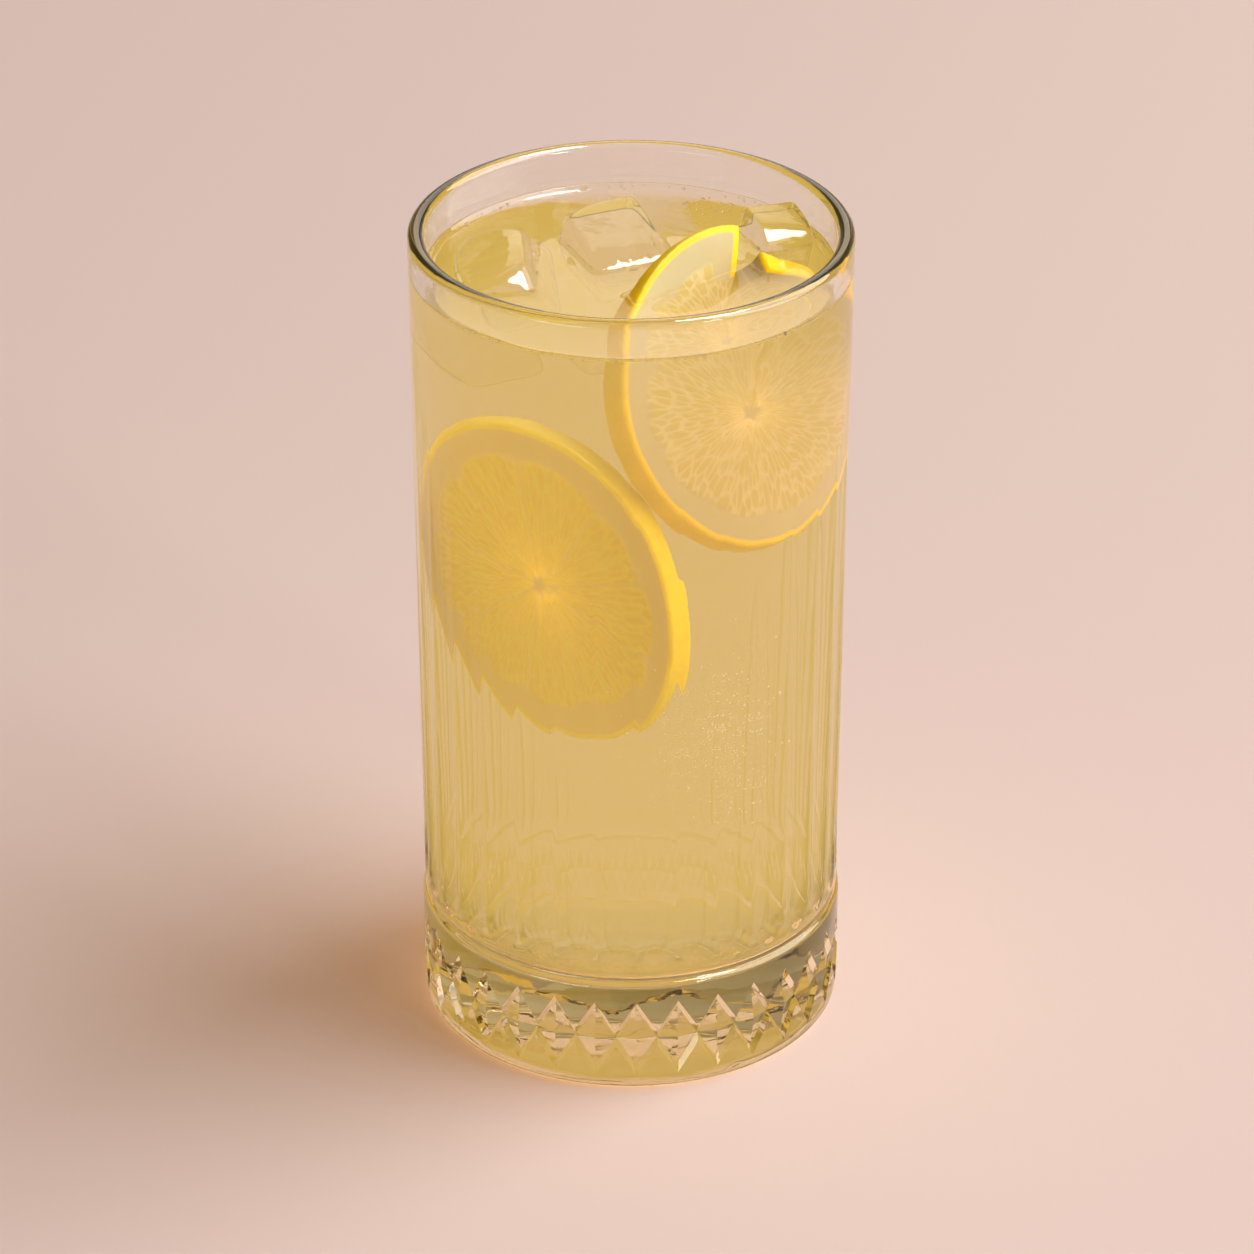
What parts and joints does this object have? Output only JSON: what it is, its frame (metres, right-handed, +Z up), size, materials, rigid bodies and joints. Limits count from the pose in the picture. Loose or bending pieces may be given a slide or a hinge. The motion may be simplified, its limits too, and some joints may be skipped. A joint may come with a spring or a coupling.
{
  "type": "glass of lemonade",
  "caption": "Tall fluted drinking glass with a diamond-cut base, filled with cloudy lemonade, with ice lumps at the surface and a lemon wheel standing out of it.",
  "frame": {"origin": "middle of the underside of the foot, on the surface that the glass stands on", "axes": "+Z up along the axis of the glass; the side that faces the viewer of the picture towards -Y, +X to the viewer's right"},
  "size_m": [0.0762, 0.0762, 0.15],
  "materials": {
    "glass": "clear pressed glass with a faint olive tint at its edges",
    "lemonade": "cloudy pale yellow lemonade",
    "ice": "wet ice, partly frosted inside",
    "lemon": "wet lemon: yellow rind, pale pith and translucent flesh"
  },
  "bodies": {
    "root": {"glass": "glass", "lemonade": "lemonade", "ice_left": "ice", "ice_middle": "ice", "ice_right": "ice", "lemon_wheel": "lemon"}
  },
  "joints": []
}
